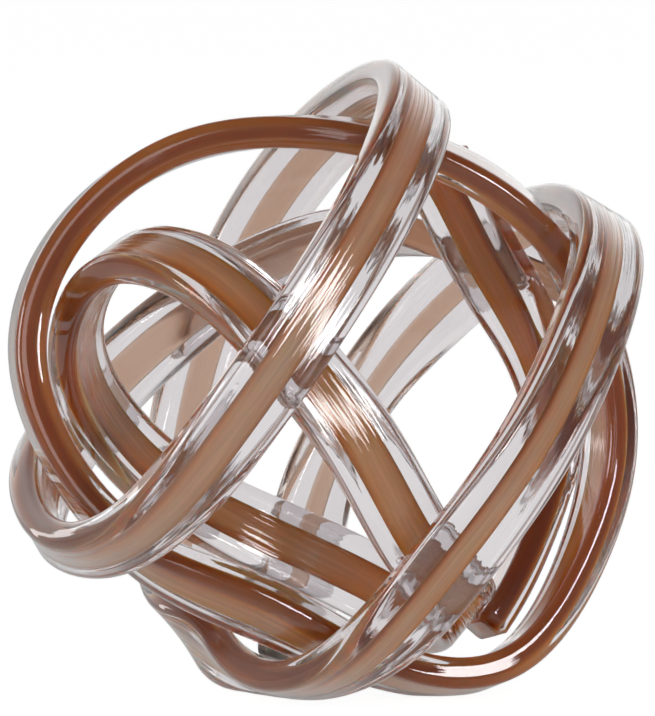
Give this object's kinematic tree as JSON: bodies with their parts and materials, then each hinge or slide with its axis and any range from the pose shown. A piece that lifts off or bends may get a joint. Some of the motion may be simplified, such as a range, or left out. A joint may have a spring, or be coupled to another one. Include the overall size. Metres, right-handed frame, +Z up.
{
  "type": "glass knot sculpture",
  "caption": "Ball-shaped desk ornament of flat clear-glass ribbons with coloured cores, looped over and under one another and fused where they cross.",
  "frame": {"origin": "middle of the knot's box, on the surface that it stands on", "axes": "+Z up, -Y towards the viewer of the front, +X to that viewer's right"},
  "size_m": [0.1512, 0.1602, 0.1502],
  "materials": {
    "clear_glass": "fire-polished gloss",
    "copper_glass": "gloss, copper brown"
  },
  "bodies": {
    "root": {"outer_coil_casing": "clear_glass", "outer_coil_core": "copper_glass", "wide_ring_casing": "clear_glass", "wide_ring_core": "copper_glass", "inner_ring_casing": "clear_glass", "inner_ring_core": "copper_glass", "back_arc_casing": "clear_glass", "back_arc_core": "copper_glass"}
  },
  "joints": []
}
